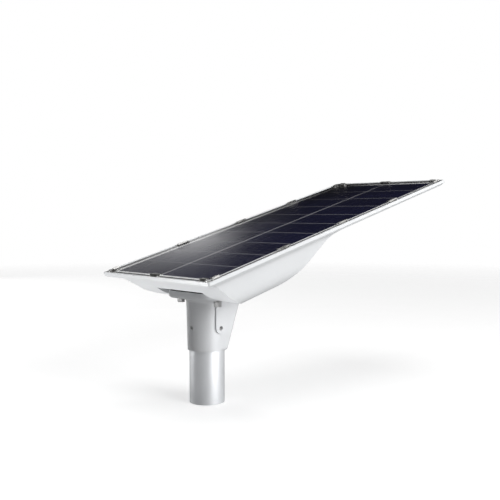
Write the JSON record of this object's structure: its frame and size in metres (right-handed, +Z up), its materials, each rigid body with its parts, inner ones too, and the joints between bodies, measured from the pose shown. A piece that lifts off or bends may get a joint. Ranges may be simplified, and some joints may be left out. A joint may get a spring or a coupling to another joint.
{
  "type": "solar street lamp",
  "caption": "All-in-one solar street lamp: long tilted panel over a deep white belly with the lamp under its far end, bolted to a sleeve adapter on a round pole top.",
  "frame": {"origin": "on the pole axis at the lower end of the pole section", "axes": "+Z up along the pole, +X along the lamp towards its raised far end, Y across the lamp"},
  "size_m": [0.862, 0.375, 0.5267],
  "materials": {
    "pole_paint": "satin powder coat, light grey",
    "cast_paint": "satin powder coat on a casting",
    "housing_paint": "smooth semi-gloss white paint",
    "stainless": "stainless steel, rolled and formed",
    "bolt_steel": "stainless fastener",
    "plate_steel": "zinc-plated steel",
    "anodised": "matt anodised",
    "sink_aluminium": "bare aluminium",
    "glass": "low-iron tempered glass",
    "silicon": "dark blue monocrystalline cells",
    "ribbon": "tinned copper ribbon",
    "encapsulant": "clear film over a light backsheet",
    "backsheet": "white film",
    "rubber": "black EPDM",
    "black_plastic": "moulded black",
    "battery_wrap": "blue shrink sleeve",
    "battery_box": "black ABS",
    "board_green": "circuit board",
    "board_white": "white solder mask",
    "phosphor": "yellow phosphor",
    "lens": "clear moulded lens",
    "bezel_paint": "white powder coat",
    "button_red": "red cap",
    "cable_jacket": "black jacket"
  },
  "bodies": {
    "pole": {"pole_section": "pole_paint"},
    "head": {"adapter": "cast_paint", "grub_screws": "bolt_steel", "mounting_bolts": "bolt_steel", "spring_washers": "bolt_steel", "flat_washers": "bolt_steel", "mount_gasket": "rubber", "backing_plate": "plate_steel", "housing": "housing_paint", "panel_gasket": "rubber", "panel_frame": "anodised", "pv_glass": "glass", "pv_cells": "silicon", "cell_ribbons": "ribbon", "encapsulant": "encapsulant", "backsheet": "backsheet", "junction_box": "black_plastic", "edge_clips": "stainless", "corner_clips": "stainless", "clip_screws": "bolt_steel", "battery_case": "battery_box", "battery_lid": "battery_box", "battery_cells": "battery_wrap", "battery_cradle": "plate_steel", "cradle_screws": "bolt_steel", "battery_straps": "stainless", "controller_case": "black_plastic", "controller_board": "board_green", "controller_cover": "black_plastic", "heat_sink": "sink_aluminium", "led_board": "board_white", "led_chips": "phosphor", "lens_gasket": "rubber", "lens_plate": "lens", "lens_frame": "bezel_paint", "lens_screws": "bolt_steel", "switch_body": "black_plastic", "switch_nut": "bolt_steel", "breather_plug": "black_plastic", "lamp_cable": "cable_jacket", "panel_cable": "cable_jacket", "battery_cable": "cable_jacket", "cable_grommet": "rubber"},
    "button": {"power_button": "button_red"}
  },
  "joints": [
    {"name": "azimuth_swivel", "type": "hinge", "parent": "pole", "child": "head", "pos_m": [0, 0, 0.1215], "axis": [0, 0, 1], "continuous": true},
    {"name": "button_press", "type": "slide", "parent": "head", "child": "button", "axis": [-0.2588, 0, 0.9659], "range_m": [0, 0.0025], "stiffness_N_per_m": 600, "springref_m": -0.002}
  ]
}
